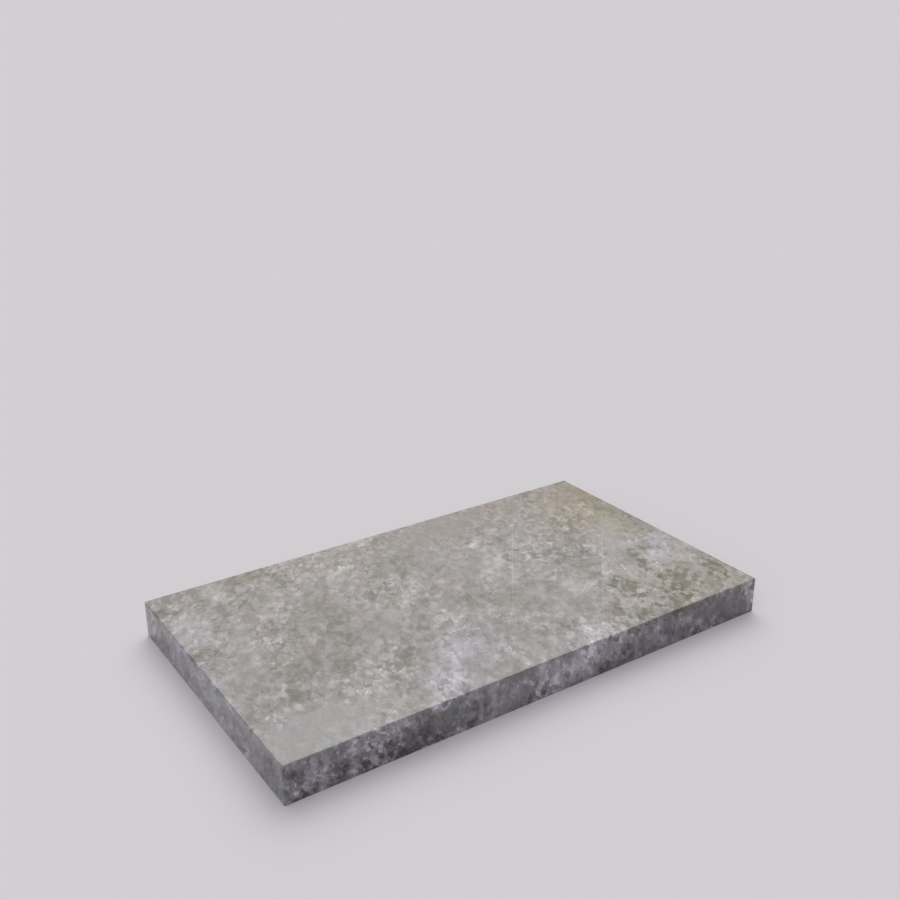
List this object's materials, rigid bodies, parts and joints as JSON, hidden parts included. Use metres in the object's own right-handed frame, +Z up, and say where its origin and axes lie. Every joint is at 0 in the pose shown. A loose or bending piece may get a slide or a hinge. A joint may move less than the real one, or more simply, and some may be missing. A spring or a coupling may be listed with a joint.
{
  "type": "flat grave marker",
  "caption": "Flat rectangular grave marker of polished grey granite, blank, that lies face up on its flat underside.",
  "frame": {"origin": "centre of the underside, on the surface that the slab lies on", "axes": "+X along the long side, +Y across the width towards the far long side, +Z up through the polished face"},
  "size_m": [0.7112, 0.4064, 0.0508],
  "materials": {
    "granite": "polished"
  },
  "bodies": {
    "root": {"granite_slab": "granite"}
  },
  "joints": []
}
